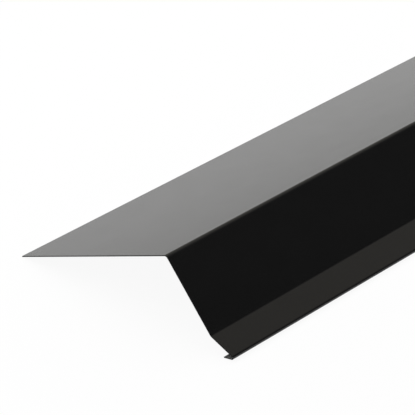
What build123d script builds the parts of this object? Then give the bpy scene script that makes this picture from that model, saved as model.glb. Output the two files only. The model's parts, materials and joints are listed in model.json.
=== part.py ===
from build123d import *

import math
import os
from itertools import zip_longest

# An eaves flashing: one strip of coated steel sheet, folded along its length into a roof flange,
# a fascia leg, a drip kick and a lip turned back under the kick.
# It stands on the flange's free edge and on the lip, like a low tent.
# +X runs along the strip, -Y faces the gutter and +Z is up.
# The origin is on the floor, under the middle of the piece.

# Driving dimensions: lengths in millimetres, angles in degrees
LENGTH = 2000.0
THICKNESS = 0.5
FLANGE_WIDTH = 100.0  # free edge to the sharp outer corner of the main bend
FASCIA_DEPTH = 40.0  # corner of the main bend to the corner of the kink
KICK_WIDTH = 14.3  # corner of the kink to the nose of the fold
LIP_WIDTH = 5.7  # nose of the fold to the lip's cut edge

MAIN_BEND_TURN = 70.5  # flange down to fascia, which leaves 109.5 degrees inside
KINK_TURN = 27.0  # fascia out to kick
FOLD_TURN = 147.0  # kick back to lip, which leaves the fold open

MAIN_BEND_INNER_RADIUS = 1.5
KINK_INNER_RADIUS = 1.5
FOLD_INNER_RADIUS = 0.6


def setback(radius, turn):
    """Distance from a bend's sharp corner back to where the flat beside it ends."""
    return radius * math.tan(math.radians(turn) / 2)


# The flats between the bends. They are equally long on both faces of the sheet.
# The painted face is on the outside of the main bend and the fold, and inside the kink.
main_setback = setback(MAIN_BEND_INNER_RADIUS + THICKNESS, MAIN_BEND_TURN)
kink_setback = setback(KINK_INNER_RADIUS, KINK_TURN)
nose_radius = FOLD_INNER_RADIUS + THICKNESS
flats = [
    FLANGE_WIDTH - main_setback,
    FASCIA_DEPTH - main_setback - kink_setback,
    KICK_WIDTH - kink_setback - nose_radius,
    LIP_WIDTH - nose_radius,
]

# Each bend's turn, minus where the strip turns down and back, and its inner radius
bends = [
    (-MAIN_BEND_TURN, MAIN_BEND_INNER_RADIUS),
    (KINK_TURN, KINK_INNER_RADIUS),
    (-FOLD_TURN, FOLD_INNER_RADIUS),
]


def face_line(depth):
    """Flats and bends of the sheet, seen on end, at a depth below the painted face."""
    edges = []
    start, heading = Vector(0, -depth), Vector(1, 0)
    for flat, bend in zip_longest(flats, bends):
        run = Line(start, start + heading * flat)
        edges.append(run)
        if bend:
            turn, inner_radius = bend
            metal_inside = THICKNESS - depth if turn < 0 else depth
            arc = JernArc(run @ 1, run % 1, inner_radius + metal_inside, turn)
            edges.append(arc)
            start, heading = arc @ 1, arc % 1
    return edges


def resting_tilt(heel, corners, nose):
    """Angle that brings the lip, or the nose if that is lower, level with the flange's free edge."""
    slopes = [math.atan2(corner.Y - heel.Y, corner.X - heel.X) for corner in corners]
    reach = nose.arc_center - heel
    slopes.append(math.atan2(reach.Y, reach.X) - math.asin(nose_radius / reach.length))
    return -math.degrees(min(slopes))


def section():
    """The folded sheet seen on end, as it stands: X to the front, Y up, the free edge at 0, 0."""
    painted, hidden = face_line(0), face_line(THICKNESS)
    free_edge = Line(painted[0] @ 0, hidden[0] @ 0)
    lip_edge = Line(painted[-1] @ 1, hidden[-1] @ 1)
    outline = make_face([*painted, lip_edge, *hidden, free_edge])
    heel = hidden[0] @ 0
    nose = painted[-2]
    tilt = resting_tilt(heel, [lip_edge @ 0, lip_edge @ 1], nose)
    return Rot(0, 0, tilt) * Pos(-heel.X, -heel.Y) * outline


def eaves_flashing():
    """The section drawn out along X, standing over the origin."""
    face = section()
    box = face.bounding_box()
    seen_on_end = Plane(origin=(LENGTH / 2, 0, 0), x_dir=(0, -1, 0), z_dir=(-1, 0, 0))
    centred = Pos(-box.center().X, -box.min.Y) * face
    return extrude(seen_on_end * centred, LENGTH)


os.makedirs("parts", exist_ok=True)
export_step(eaves_flashing(), "parts/eaves_flashing.step")
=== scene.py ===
# %% [markdown]
# # An eaves flashing
# This is one strip of black coated steel sheet, folded along its length. The wide leg is the roof flange,
# the steep leg hangs in front of the fascia board, and the kick below it throws the rain clear.
# A short lip is turned back under the kick, to stiffen the lower edge and to let drops fall off it.
# The construction comes in as a fixed frame, in metres, and everything made here sits in that frame.

# %% Load the fixed frame
import json
import math

import bmesh
import bpy
from mathutils import Color, Matrix, Vector


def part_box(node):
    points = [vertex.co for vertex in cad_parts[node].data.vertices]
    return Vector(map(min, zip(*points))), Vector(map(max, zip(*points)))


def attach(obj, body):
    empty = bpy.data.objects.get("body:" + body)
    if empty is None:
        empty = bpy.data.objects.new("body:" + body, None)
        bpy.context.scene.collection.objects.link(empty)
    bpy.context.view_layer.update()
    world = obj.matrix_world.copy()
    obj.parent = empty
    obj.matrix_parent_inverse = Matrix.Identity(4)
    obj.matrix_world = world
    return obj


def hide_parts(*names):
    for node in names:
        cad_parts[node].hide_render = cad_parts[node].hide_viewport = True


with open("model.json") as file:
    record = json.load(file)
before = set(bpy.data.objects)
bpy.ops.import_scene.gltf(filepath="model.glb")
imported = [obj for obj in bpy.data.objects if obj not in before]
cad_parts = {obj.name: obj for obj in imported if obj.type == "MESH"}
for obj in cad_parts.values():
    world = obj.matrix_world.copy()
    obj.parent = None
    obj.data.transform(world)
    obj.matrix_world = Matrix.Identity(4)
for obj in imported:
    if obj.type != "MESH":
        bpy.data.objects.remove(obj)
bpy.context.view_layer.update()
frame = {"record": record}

NODE = "eaves_flashing"
MM = 0.001

# %% [markdown]
# ## Camera
# Straight edges that run the same way on an object fix a camera well. The flange, the leg and the kick
# meet at the near end, so their edges give the heading, the height and the lens together.
# The lens is long, because the edges hardly draw together towards the far end.
# A constraint could aim the camera at a target, but a place and two angles are easier to read.

# %% Set up the camera
CAMERA_PLACE = (-1.6658, -0.6693, 0.5790)
CAMERA_HEADING = 42.88  # degrees from +X towards +Y
CAMERA_DIP = 29.22  # degrees below the horizon
CAMERA_LENS = 214.7  # millimetres, on the default 36 mm sensor

camera_data = bpy.data.cameras.new("camera")
camera_data.lens = CAMERA_LENS
camera = bpy.data.objects.new("camera", camera_data)
camera.location = CAMERA_PLACE
# An unturned camera looks straight down, with its top towards +Y
camera.rotation_euler = (math.radians(90 - CAMERA_DIP), 0, math.radians(CAMERA_HEADING - 90))
bpy.context.collection.objects.link(camera)
bpy.context.scene.camera = camera
print("camera looks down by", CAMERA_DIP, "degrees through a lens of", CAMERA_LENS, "mm")

# %% [markdown]
# ## Folding the strip
# A folding machine clamps a flat strip and swings the free part of it up or down, one bend after the other.
# The mesh is made the same way. It starts as the strip's free edge, a row of short edges along X.
# Extruding that row makes a flat, and spinning it about a bend's axis makes a bend.
# Sweeping a drawn section would give the same shape, but here each number is one that a folder sets.

# %% Sizes of the painted face
STRIP_LENGTH = 2000 * MM
SHEET_GAUGE = 0.5 * MM
FLANGE_WIDTH = 100 * MM  # free edge to the sharp corner of the main bend
FASCIA_DEPTH = 40 * MM  # main bend to the corner of the kink
KICK_WIDTH = 14.3 * MM  # kink to the nose of the fold
LIP_WIDTH = 5.7 * MM  # nose to the lip's cut edge
MAIN_TURN = math.radians(70.5)
KINK_TURN = math.radians(27)
FOLD_TURN = math.radians(147)

# Radii of the painted face, which is outside the main bend and the fold, and inside the kink
MAIN_RADIUS = 1.5 * MM + SHEET_GAUGE
KINK_RADIUS = 1.5 * MM
NOSE_RADIUS = 0.6 * MM + SHEET_GAUGE

main_setback = MAIN_RADIUS * math.tan(MAIN_TURN / 2)
kink_setback = KINK_RADIUS * math.tan(KINK_TURN / 2)
flange_flat = FLANGE_WIDTH - main_setback
fascia_flat = FASCIA_DEPTH - main_setback - kink_setback
kick_flat = KICK_WIDTH - kink_setback - NOSE_RADIUS
lip_flat = LIP_WIDTH - NOSE_RADIUS
print("flats, mm:", [round(flat / MM, 2) for flat in (flange_flat, fascia_flat, kick_flat, lip_flat)])

# %% Two moves of the folding machine
ALONG = Vector((1, 0, 0))
BEND_STEP = math.radians(5)  # the most that one facet of a bend turns


def run_flat(strip, row, heading, width):
    """Draws the row out by a flat's width and gives the new row."""
    made = bmesh.ops.extrude_edge_only(strip, edges=row)["geom"]
    points = {item for item in made if isinstance(item, bmesh.types.BMVert)}
    bmesh.ops.translate(strip, verts=list(points), vec=heading * width)
    return [item for item in made if isinstance(item, bmesh.types.BMEdge) and points.issuperset(item.verts)]


def swing_bend(strip, row, heading, radius, turn):
    """Swings the row about a bend's axis, down for a turn above 0, and gives the new row and heading."""
    below = ALONG.cross(heading)
    axis_point = row[0].verts[0].co + below * math.copysign(radius, turn)
    points = list({point for edge in row for point in edge.verts})
    swung = bmesh.ops.spin(
        strip,
        geom=row + points,
        cent=axis_point,
        axis=ALONG,
        angle=turn,
        steps=math.ceil(abs(turn) / BEND_STEP),
        use_merge=False,
    )
    last = [item for item in swung["geom_last"] if isinstance(item, bmesh.types.BMEdge)]
    return last, Matrix.Rotation(turn, 3, ALONG) @ heading


print("a facet of the main bend is at most", round(MAIN_RADIUS * BEND_STEP / MM, 3), "mm wide")

# %% Fold the strip
FACE_LENGTH = 50 * MM  # so that no face runs the whole length of the strip

strip = bmesh.new()
corners = [strip.verts.new((side * STRIP_LENGTH / 2, 0, 0)) for side in (-1, 1)]
free_edge = strip.edges.new(corners)
bmesh.ops.subdivide_edges(strip, edges=[free_edge], cuts=round(STRIP_LENGTH / FACE_LENGTH) - 1)

row = list(strip.edges)
heading = Vector((0, -1, 0))
row = run_flat(strip, row, heading, flange_flat)
row, heading = swing_bend(strip, row, heading, MAIN_RADIUS, MAIN_TURN)
row = run_flat(strip, row, heading, fascia_flat)
row, heading = swing_bend(strip, row, heading, KINK_RADIUS, -KINK_TURN)
row = run_flat(strip, row, heading, kick_flat)
row, heading = swing_bend(strip, row, heading, NOSE_RADIUS, FOLD_TURN)
row = run_flat(strip, row, heading, lip_flat)
print("folded skin:", len(strip.verts), "points and", len(strip.faces), "faces")

# %% [markdown]
# ## Standing it on the floor
# Unheld, the folded strip stands like a low tent, on the flange's free edge and on the lip.
# The frame knows how far that tips the flange: the face that the roofing laps over is one of its mounts,
# and the mount's axis is square to the flange. So the skin is tipped by that angle, and then moved until
# its crest and its nose touch the construction's box. Nothing has to be fitted by eye.

# %% Tip and place the skin
mounts = {mount["name"]: mount for mount in frame["record"]["mounts"]}
_, flange_lean, flange_rise = mounts["roofing_face"]["axis"]
tip_angle = math.atan2(flange_lean, flange_rise)
bmesh.ops.rotate(strip, verts=strip.verts, matrix=Matrix.Rotation(-tip_angle, 3, ALONG))

crest = max(point.co.z for point in strip.verts)
nose = min(point.co.y for point in strip.verts)
part_low, part_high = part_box(NODE)
bmesh.ops.translate(strip, verts=strip.verts, vec=(0, part_low.y - nose, part_high.z - crest))
print("flange tipped by", round(math.degrees(tip_angle), 2), "degrees")

# %% [markdown]
# ## Gauge and cut edges
# The skin is the painted face alone. Solidify adds the steel behind it and hands the back and the rim
# to materials of their own. Shears leave an edge that is never razor sharp, so a small bevel breaks it.
# Weighted Normal comes last: it lets the wide flats keep their own direction right up to the bends,
# so that a flat mirrors like a flat. Loops beside each bend would do that too, with more faces.

# %% Make the strip's object
bmesh.ops.recalc_face_normals(strip, faces=strip.faces)
if sum(face.normal.z * face.calc_area() for face in strip.faces) < 0:
    bmesh.ops.reverse_faces(strip, faces=strip.faces)
for face in strip.faces:
    face.smooth = True

mesh = bpy.data.meshes.new("folded_strip")
strip.to_mesh(mesh)
strip.free()
flashing = bpy.data.objects.new("folded_strip", mesh)
bpy.context.collection.objects.link(flashing)
print("painted face, square metres:", round(sum(face.area for face in mesh.polygons), 4))

# %% Give it gauge, broken edges and true flats
BACK_SLOT, CUT_SLOT = 1, 2  # places of two finishes, after the coating's own at 0
EDGE_BREAK = 0.06 * MM
EDGE_BREAK_FACETS = 2
EDGE_ANGLE = math.radians(60)  # sharper than any facet of a bend
WIDE_FACES_LEAD = 100  # the weight at which the widest face at a point sets the normal there

gauge = flashing.modifiers.new("gauge", "SOLIDIFY")
gauge.thickness = SHEET_GAUGE
gauge.offset = -1  # all the steel lies behind the painted face
gauge.use_even_offset = True
gauge.material_offset = BACK_SLOT
gauge.material_offset_rim = CUT_SLOT

broken_edge = flashing.modifiers.new("broken_edge", "BEVEL")
broken_edge.width = EDGE_BREAK
broken_edge.segments = EDGE_BREAK_FACETS
broken_edge.profile = 0.5
broken_edge.limit_method = "ANGLE"
broken_edge.angle_limit = EDGE_ANGLE

true_flats = flashing.modifiers.new("true_flats", "WEIGHTED_NORMAL")
true_flats.weight = WIDE_FACES_LEAD

finished = flashing.evaluated_get(bpy.context.evaluated_depsgraph_get())
print("finished sheet:", len(finished.to_mesh().polygons), "faces")
finished.to_mesh_clear()

# %% [markdown]
# ## Finishes
# Three surfaces show: the black coating, the thin coat on the back, and the steel at the cut edges.
# One recipe serves for all three: on a Principled shader, one noise drives the tone and the gloss,
# and a height, which is noise too, drives the relief. Image textures could do it as well, but noise
# has no seams at the bends and stays sharp from close by.
# Object coordinates are in metres here, so noise with a scale of 1 / size has waves about that long.

# %% Helpers for colours and nodes
def linear(code):
    """The linear colour that shaders use, from an sRGB hex code."""
    shares = [int(code[place : place + 2], 16) / 255 for place in (1, 3, 5)]
    return *Color(shares).from_srgb_to_scene_linear(), 1.0


def add_node(tree, kind, inputs=None, **settings):
    """Adds a node, with its own settings and a value or another node's socket for each input."""
    made = tree.nodes.new(kind)
    for name, value in settings.items():
        setattr(made, name, value)
    for name, value in (inputs or {}).items():
        if isinstance(value, bpy.types.NodeSocket):
            tree.links.new(value, made.inputs[name])
        else:
            made.inputs[name].default_value = value
    return made


def empty_material(name):
    """A new material with nothing in its node tree, and that tree."""
    material = bpy.data.materials.new(name)
    material.use_nodes = True
    material.node_tree.nodes.clear()
    return material, material.node_tree


print("mid grey #808080 is", round(linear("#808080")[0], 3), "in linear light")

# %% Recipe of a finish
MIX_LOW, MIX_HIGH, MIX_RESULT = 6, 7, 2  # places of a Mix node's colour sockets
NOISE_LOW, NOISE_HIGH = 0.3, 0.7  # nearly all the values of a noise lie between these


def shade(tree, patches, tones, roughness, height, depth, **fixed):
    """Shades a finish: patches set tone and gloss, a height sets the relief, and fixed inputs the rest."""
    low, high = [linear(tone) for tone in tones]
    smooth, rough = roughness
    colour = add_node(
        tree, "ShaderNodeMix", {"Factor": patches, MIX_LOW: low, MIX_HIGH: high}, data_type="RGBA"
    )
    reach = {"From Min": NOISE_LOW, "From Max": NOISE_HIGH, "To Min": smooth, "To Max": rough}
    gloss = add_node(tree, "ShaderNodeMapRange", {"Value": patches, **reach})
    relief = add_node(tree, "ShaderNodeBump", {"Height": height, "Distance": depth})
    varied = {
        "Base Color": colour.outputs[MIX_RESULT],
        "Roughness": gloss.outputs[0],
        "Normal": relief.outputs[0],
    }
    shader = add_node(tree, "ShaderNodeBsdfPrincipled", {**varied, **fixed})
    add_node(tree, "ShaderNodeOutputMaterial", {"Surface": shader.outputs[0]})


print("a finish reads its noise from", NOISE_LOW, "to", NOISE_HIGH)

# %% [markdown]
# ### Black polyester coil coating
# The sheet was painted flat, as a coil: a roller laid the paint on and an oven cured it.
# That gives a semi-gloss black with faint orange peel, and still fainter lines the way the coil ran.
# Seen from above it is nearly black. Seen at a low angle it mirrors the pale floor, as any varnish does.
# A paler base colour could fake that grey, but it would be wrong from every other side.
# The shader's own Fresnel gives it from the index of refraction alone.

# %% Black coil coating
COATING_TONES = ("#0f0f0f", "#121212")
COATING_ROUGHNESS = (0.204, 0.216)  # semi-gloss: the floor shows in it only as a soft gradient
COATING_IOR = 1.5  # cured polyester
CLOUD = 14 * MM  # patches where the paint dried a little flatter
ORANGE_PEEL = 1.6 * MM
ORANGE_PEEL_HEIGHT = 0.009 * MM
ROLLER_LINE = 2.5 * MM
ROLLER_LINE_STRETCH = 40  # how many times longer than wide the roller's lines are
ROLLER_LINE_SHARE = 0.35  # of the orange peel's height

coating, tree = empty_material("black_polyester_coil_coating")
place = add_node(tree, "ShaderNodeTexCoord").outputs["Object"]
clouds = add_node(tree, "ShaderNodeTexNoise", {"Vector": place, "Scale": 1 / CLOUD}).outputs[0]
peel = add_node(tree, "ShaderNodeTexNoise", {"Vector": place, "Scale": 1 / ORANGE_PEEL}).outputs[0]
drawn_out = add_node(tree, "ShaderNodeMapping", {"Vector": place, "Scale": (1 / ROLLER_LINE_STRETCH, 1, 1)})
lines = add_node(tree, "ShaderNodeTexNoise", {"Vector": drawn_out.outputs[0], "Scale": 1 / ROLLER_LINE})
height = add_node(
    tree,
    "ShaderNodeMath",
    {0: lines.outputs[0], 1: ROLLER_LINE_SHARE, 2: peel},
    operation="MULTIPLY_ADD",
).outputs[0]
shade(tree, clouds, COATING_TONES, COATING_ROUGHNESS, height, ORANGE_PEEL_HEIGHT, IOR=COATING_IOR)
print(coating.name, "has orange peel", round(ORANGE_PEEL / MM, 2), "mm wide")

# %% [markdown]
# ### Grey epoxy back coat
# The back gets one thin coat of grey epoxy, only there to keep rust off. It is too thin to level itself,
# so it stays matt and streaky the way the roller ran, and the grain of the zinc below it shows through.
# Two separate noises could drive the tone and the gloss of the streaks, but both come from how thick
# the coat lies, so one noise drives both. The zinc's grain is another noise, and feeds only the relief.

# %% Grey back coat
BACK_COAT_TONES = ("#646463", "#747473")
BACK_COAT_ROUGHNESS = (0.49, 0.61)  # matt
BACK_COAT_IOR = 1.5  # cured epoxy
STREAK = 5 * MM
STREAK_STRETCH = 30  # how many times longer than wide a streak is
ZINC_GRAIN = 0.9 * MM  # real grain is nearer 0.3 mm, and is drawn coarser so that it shows
ZINC_GRAIN_HEIGHT = 0.012 * MM

back_coat, tree = empty_material("grey_epoxy_back_coat")
place = add_node(tree, "ShaderNodeTexCoord").outputs["Object"]
drawn_out = add_node(tree, "ShaderNodeMapping", {"Vector": place, "Scale": (1 / STREAK_STRETCH, 1, 1)})
stretched = add_node(tree, "ShaderNodeTexNoise", {"Vector": drawn_out.outputs[0], "Scale": 1 / STREAK})
streaks = stretched.outputs[0]
grain = add_node(tree, "ShaderNodeTexNoise", {"Vector": place, "Scale": 1 / ZINC_GRAIN}).outputs[0]
shade(tree, streaks, BACK_COAT_TONES, BACK_COAT_ROUGHNESS, grain, ZINC_GRAIN_HEIGHT, IOR=BACK_COAT_IOR)
print(back_coat.name, "has streaks", round(STREAK / MM, 2), "mm wide")

# %% [markdown]
# ### Sheared steel
# A shear cuts part of the way through the sheet and tears the rest, so the edge is bare steel, dull
# and rough. Its tone is painted almost as dark as the paint: that is painted shade, for the light
# that the torn ridges trap.
# Ridges could be modelled, but the edge is half a millimetre wide, so noise in the tone, the gloss
# and the relief is enough. The metal keeps the shader's own index of refraction.

# %% Sheared steel
# painted shade: far darker than bare steel, for the light that the torn ridges trap
STEEL_AND_SHADE_TONES = ("#1a1b1c", "#2c2d2f")
STEEL_ROUGHNESS = (0.4, 0.6)
TORN_RIDGE = 0.2 * MM  # real ridges are nearer 0.05 mm, and are drawn coarser so that they show
TORN_RIDGE_HEIGHT = 0.02 * MM

cut_edge, tree = empty_material("sheared_galvanised_steel")
place = add_node(tree, "ShaderNodeTexCoord").outputs["Object"]
ridges = add_node(tree, "ShaderNodeTexNoise", {"Vector": place, "Scale": 1 / TORN_RIDGE}).outputs[0]
shade(tree, ridges, STEEL_AND_SHADE_TONES, STEEL_ROUGHNESS, ridges, TORN_RIDGE_HEIGHT, Metallic=1.0)
print(cut_edge.name, "has ridges", round(TORN_RIDGE / MM, 2), "mm wide")

# %% [markdown]
# ## Handing the strip over
# Solidify has already sorted the faces: the coating is first in the list, then the back, then the cut.
# Faces could be picked and painted one by one, but a list in that order is all that the mesh needs.
# The construction's own part is then hidden, and the mesh is hung on the body that it moves with.

# %% Put the finishes on the strip and hand it over
for finish in (coating, back_coat, cut_edge):
    flashing.data.materials.append(finish)
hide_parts(NODE)
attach(flashing, "root")
print("finishes:", [finish.name for finish in flashing.data.materials])

# %% [markdown]
# ## Pale floor
# The strip stands on a plain pale floor, large enough that its rim is never in view.
# More light could turn the floor white, but it would wash out the strip too. So the floor glows instead,
# mostly for the camera: Light Path tells which kind of ray has reached it.
# In the coating's mirror it glows very little, so that the mirrored floor keeps its light and shade.

# %% Lay the floor
FLOOR_SIDE = 80.0  # metres
FLOOR_DROP = 0.05 * MM  # so that the strip's edges don't lie in the floor's own plane

ground = bmesh.new()
bmesh.ops.create_grid(ground, x_segments=1, y_segments=1, size=FLOOR_SIDE / 2)
bmesh.ops.translate(ground, verts=ground.verts, vec=(0, 0, -FLOOR_DROP))
floor_mesh = bpy.data.meshes.new("floor")
ground.to_mesh(floor_mesh)
ground.free()
floor = bpy.data.objects.new("floor", floor_mesh)
bpy.context.collection.objects.link(floor)
print("floor is", FLOOR_SIDE, "m square")

# %% Finish of the floor
FLOOR_TONE = "#f2f2f2"
FLOOR_GLOW = {"Is Camera Ray": 0.93, "Is Transmission Ray": 0.93, "Is Glossy Ray": 0.1}
WHITE = linear("#ffffff")

pale, tree = empty_material("pale_studio_floor")
ray = add_node(tree, "ShaderNodeLightPath").outputs
glow_share = 0.0
for kind, share in FLOOR_GLOW.items():
    added = add_node(
        tree, "ShaderNodeMath", {0: ray[kind], 1: share, 2: glow_share}, operation="MULTIPLY_ADD"
    )
    glow_share = added.outputs[0]
matt = add_node(tree, "ShaderNodeBsdfDiffuse", {"Color": linear(FLOOR_TONE)})
glow = add_node(tree, "ShaderNodeEmission", {"Color": WHITE})
surface = add_node(tree, "ShaderNodeMixShader", {0: glow_share, 1: matt.outputs[0], 2: glow.outputs[0]})
add_node(tree, "ShaderNodeOutputMaterial", {"Surface": surface.outputs[0]})
floor.data.materials.append(pale)
print("share of the floor's own glow:", FLOOR_GLOW)

# %% [markdown]
# ## Room
# A picture of something black and glossy is mostly a picture of what it mirrors.
# The flange mirrors the pale side behind the strip, the kick mirrors the ceiling, and the fascia leg
# mirrors the dark side in front. Cards and flags could stand round the strip, as in a studio, but each
# would have an edge to hide. One ramp of tones, over the top from back to front, has none.
# Only mirrors see that ramp: the camera sees a plain backdrop, and all else is lit by an even white.

# %% Tones that the coating mirrors
OVERHEAD = 180  # degrees from the horizon behind, over the top, to the horizon in front
ROOM_TONES = {  # the pale ones are a little warm, as lit walls are
    0: "#edece6",
    15: "#cdccc6",
    35: "#bbbab2",
    86: "#a5a19a",
    110: "#6a6967",
    138: "#3d3d3d",
    OVERHEAD: "#363636",
}

world = bpy.data.worlds.new("studio")
bpy.context.scene.world = world
world.use_nodes = True
tree = world.node_tree
tree.nodes.clear()
direction = add_node(tree, "ShaderNodeTexCoord").outputs["Generated"]
parts = add_node(tree, "ShaderNodeSeparateXYZ", {0: direction}).outputs
angle = add_node(tree, "ShaderNodeMath", {0: parts["Z"], 1: parts["Y"]}, operation="ARCTAN2").outputs[0]
turn = add_node(tree, "ShaderNodeMapRange", {"Value": angle, "From Max": math.radians(OVERHEAD)})
ramp = add_node(tree, "ShaderNodeValToRGB", {"Fac": turn.outputs[0]})
stops = ramp.color_ramp.elements
while len(stops) < len(ROOM_TONES):
    stops.new(1.0)
for stop, (degrees, tone) in zip(stops, ROOM_TONES.items()):
    stop.position = degrees / OVERHEAD
    stop.color = linear(tone)
print("tones from back to front:", list(ROOM_TONES.values()))

# %% Backdrop and even light
AMBIENT = 0.65  # even light from all round
BACKDROP = "#fcfcfc"  # the tone of the floor far away, so that no horizon shows

ray = add_node(tree, "ShaderNodeLightPath").outputs
looked_at = add_node(
    tree, "ShaderNodeMath", {0: ray["Is Camera Ray"], 1: ray["Is Transmission Ray"]}, operation="MAXIMUM"
)
room = add_node(tree, "ShaderNodeBackground", {"Color": ramp.outputs["Color"]})
even = add_node(tree, "ShaderNodeBackground", {"Color": WHITE, "Strength": AMBIENT})
backdrop = add_node(tree, "ShaderNodeBackground", {"Color": linear(BACKDROP)})
mirrored = add_node(
    tree, "ShaderNodeMixShader", {0: ray["Is Glossy Ray"], 1: even.outputs[0], 2: room.outputs[0]}
)
shown = add_node(
    tree, "ShaderNodeMixShader", {0: looked_at.outputs[0], 1: mirrored.outputs[0], 2: backdrop.outputs[0]}
)
add_node(tree, "ShaderNodeOutputWorld", {"Surface": shown.outputs[0]})
print("even light of strength", AMBIENT, "and a backdrop of", BACKDROP)

# %% [markdown]
# ## Light
# A long softbox hangs low over the strip. The floor beside the strip gets more of its light than the floor
# further off, and the flange mirrors that as a soft gradient from its free edge to the bend.
# A sun lamp would be simpler, but it lights all of the floor alike, and the flange would look flat.
# The box itself is kept out of the mirrors, as it hangs out of their reach in a studio.

# %% Hang the softbox
LAMP_PLACE = (0, 0.2, 0.5)  # metres, as its length and width are
LAMP_LENGTH = 3.2
LAMP_WIDTH = 0.4
LAMP_POWER = 5.65  # watts

lamp_data = bpy.data.lights.new("softbox", "AREA")
lamp_data.shape = "RECTANGLE"
lamp_data.size = LAMP_LENGTH
lamp_data.size_y = LAMP_WIDTH
lamp_data.energy = LAMP_POWER
lamp = bpy.data.objects.new("softbox", lamp_data)
lamp.location = LAMP_PLACE
lamp.visible_camera = False
lamp.visible_glossy = False
bpy.context.collection.objects.link(lamp)
print("softbox of", LAMP_LENGTH, "by", LAMP_WIDTH, "m with", LAMP_POWER, "W")

# %% [markdown]
# ## Last look
# The Standard view transform shows a colour as it is written, while the default would grey the black.

# %% Set the view transform
bpy.context.scene.view_settings.view_transform = "Standard"
